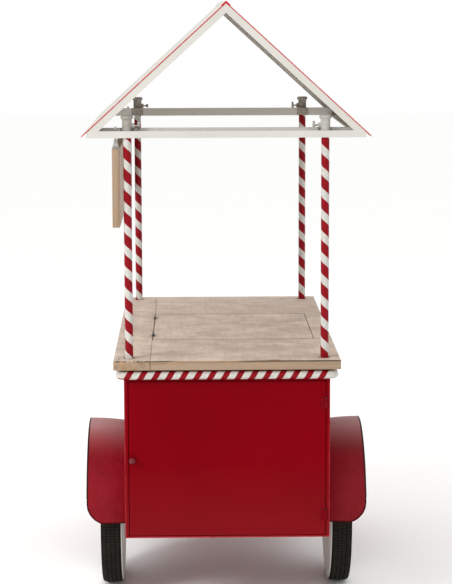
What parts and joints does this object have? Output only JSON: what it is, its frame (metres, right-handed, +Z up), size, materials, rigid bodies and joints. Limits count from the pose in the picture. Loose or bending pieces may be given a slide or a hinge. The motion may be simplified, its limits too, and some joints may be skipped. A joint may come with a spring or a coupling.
{
  "type": "push vending cart",
  "caption": "Two-wheeled push vending cart: cabinet with door, wooden worktop with lidded bin, striped poles, gabled canopy with a hanging sign board.",
  "frame": {"origin": "on the ground, below the middle of the cart's box", "axes": "+X to the right as seen from the door end, +Y from the door end to the handle end, +Z up"},
  "size_m": [0.932, 1.55, 1.9903],
  "materials": {
    "red_paint": "satin dark red paint",
    "white_paint": "satin white paint, striped red on the poles and the rail",
    "timber": "whitewashed softwood",
    "bare_steel": "dull zinc plated",
    "bin_steel": "brushed",
    "tread_rubber": "matt black rubber",
    "soft_rubber": "matt black rubber",
    "bronze": "plain bearing bronze",
    "black_plastic": "matt"
  },
  "bodies": {
    "cart": {"chassis": "red_paint", "axle": "bare_steel", "axle_spacers": "bare_steel", "axle_end_fasteners": "bare_steel", "left_fender": "red_paint", "right_fender": "red_paint", "fender_screws": "bare_steel", "legs": "red_paint", "feet": "soft_rubber", "cabinet_shell": "red_paint", "cabinet_floor": "red_paint", "shelf": "red_paint", "shelf_brackets": "red_paint", "door_frame": "red_paint", "door_catch": "black_plastic", "frame_hinge_leaves": "red_paint", "door_hinge_pins": "bare_steel", "side_board": "timber", "near_planks": "timber", "far_planks": "timber", "right_strip": "timber", "battens": "timber", "bin": "bin_steel", "board_lid_leaves": "bare_steel", "lid_hinge_pins": "bare_steel", "bumper_rail": "white_paint", "pole_sockets": "red_paint", "poles": "white_paint", "push_handle": "red_paint", "handle_screws": "bare_steel", "handle_grip": "soft_rubber"},
    "door": {"door_panel": "red_paint", "door_knob": "red_paint", "strike_plate": "bare_steel", "door_hinge_leaves": "red_paint"},
    "lid": {"lid_planks": "timber", "lid_battens": "timber", "moving_lid_leaves": "bare_steel"},
    "left_wheel_unit": {"left_tyre": "tread_rubber", "left_wheel": "white_paint", "left_bush": "bronze", "left_hub_cap": "white_paint"},
    "right_wheel_unit": {"right_tyre": "tread_rubber", "right_wheel": "white_paint", "right_bush": "bronze", "right_hub_cap": "white_paint"},
    "canopy": {"near_gable": "white_paint", "far_gable": "white_paint", "cross_bars": "white_paint", "sleeve_collars": "white_paint", "roof_rails": "white_paint", "roof_sheets": "white_paint", "ridge_cap": "white_paint", "sign_eye_bolts": "bare_steel"},
    "near_left_wing_bolt": {"wing_bolt_near_left": "bare_steel"},
    "near_right_wing_bolt": {"wing_bolt_near_right": "bare_steel"},
    "far_left_wing_bolt": {"wing_bolt_far_left": "bare_steel"},
    "far_right_wing_bolt": {"wing_bolt_far_right": "bare_steel"},
    "sign": {"sign_board": "timber", "sign_hangers": "bare_steel"}
  },
  "joints": [
    {"name": "door_hinge", "type": "hinge", "parent": "cart", "child": "door", "pos_m": [0.31925, -0.7468, 0.52], "axis": [0, 0, 1], "range_deg": [0, 170]},
    {"name": "lid_hinge", "type": "hinge", "parent": "cart", "child": "lid", "pos_m": [-0.24575, -0.08, 0.8543], "axis": [0, -1, 0], "range_deg": [0, 95]},
    {"name": "left_wheel_spin", "type": "hinge", "parent": "cart", "child": "left_wheel_unit", "pos_m": [-0.386, -0.315, 0.262], "axis": [1, 0, 0], "continuous": true},
    {"name": "right_wheel_spin", "type": "hinge", "parent": "cart", "child": "right_wheel_unit", "pos_m": [0.386, -0.315, 0.262], "axis": [1, 0, 0], "continuous": true},
    {"name": "canopy_lift", "type": "slide", "parent": "cart", "child": "canopy", "axis": [0, 0, 1], "range_m": [0, 0.044]},
    {"name": "near_left_wing_bolt_screw", "type": "hinge", "parent": "canopy", "child": "near_left_wing_bolt", "pos_m": [-0.28715, -0.715, 1.598], "axis": [1, 0, 0], "continuous": true},
    {"name": "near_right_wing_bolt_screw", "type": "hinge", "parent": "canopy", "child": "near_right_wing_bolt", "pos_m": [0.28715, -0.715, 1.598], "axis": [1, 0, 0], "continuous": true},
    {"name": "far_left_wing_bolt_screw", "type": "hinge", "parent": "canopy", "child": "far_left_wing_bolt", "pos_m": [-0.28715, 0.585, 1.598], "axis": [1, 0, 0], "continuous": true},
    {"name": "far_right_wing_bolt_screw", "type": "hinge", "parent": "canopy", "child": "far_right_wing_bolt", "pos_m": [0.28715, 0.585, 1.598], "axis": [1, 0, 0], "continuous": true},
    {"name": "sign_swing", "type": "hinge", "parent": "canopy", "child": "sign", "pos_m": [-0.35165, -0.065, 1.551], "axis": [0, 1, 0], "range_deg": [-2, 70]}
  ]
}
